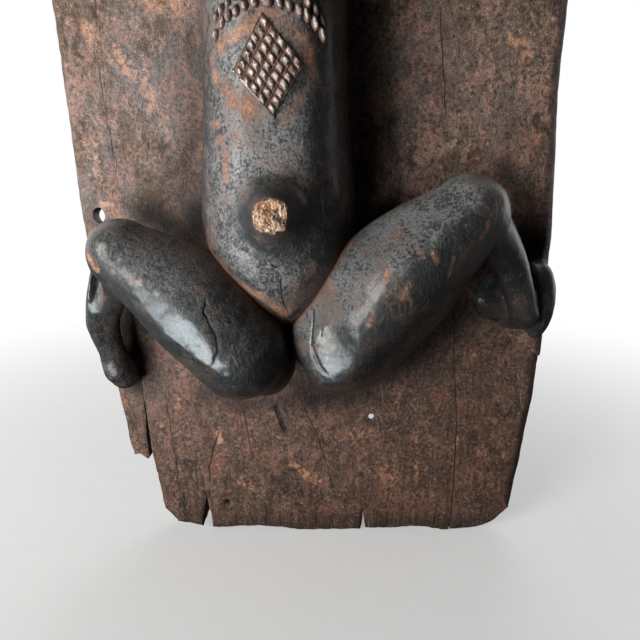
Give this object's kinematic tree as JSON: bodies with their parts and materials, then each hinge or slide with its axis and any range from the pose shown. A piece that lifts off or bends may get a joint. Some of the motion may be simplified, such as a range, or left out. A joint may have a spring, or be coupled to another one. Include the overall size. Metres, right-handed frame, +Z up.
{
  "type": "granary door",
  "caption": "Carved wooden granary door leaf with a seated figure in high relief, split boards, a lashing hole and an upper pivot peg",
  "frame": {"origin": "on the flat back face, behind the figure's belly", "axes": "+Z up the door, +Y out of the back, +X to the viewer's right"},
  "size_m": [0.4386, 0.151, 0.911],
  "materials": {
    "board_wood": "worn, oiled by handling",
    "carved_wood": "blackened, polished by handling",
    "dowel_wood": "raw"
  },
  "bodies": {
    "root": {"centre_board": "board_wood", "left_edge_strip": "board_wood", "right_board": "board_wood", "torso": "carved_wood", "navel": "carved_wood", "belly_lozenge": "carved_wood", "chest_band": "carved_wood", "left_leg": "carved_wood", "right_leg": "carved_wood", "left_arm": "carved_wood", "right_arm": "carved_wood", "head": "carved_wood", "upper_torso_dowel": "dowel_wood", "lower_torso_dowel": "dowel_wood", "head_dowel": "dowel_wood", "left_hip_dowel": "dowel_wood", "right_hip_dowel": "dowel_wood", "left_foot_dowel": "dowel_wood", "right_foot_dowel": "dowel_wood", "left_shoulder_dowel": "dowel_wood", "right_shoulder_dowel": "dowel_wood", "left_elbow_dowel": "dowel_wood", "right_elbow_dowel": "dowel_wood"}
  },
  "joints": []
}
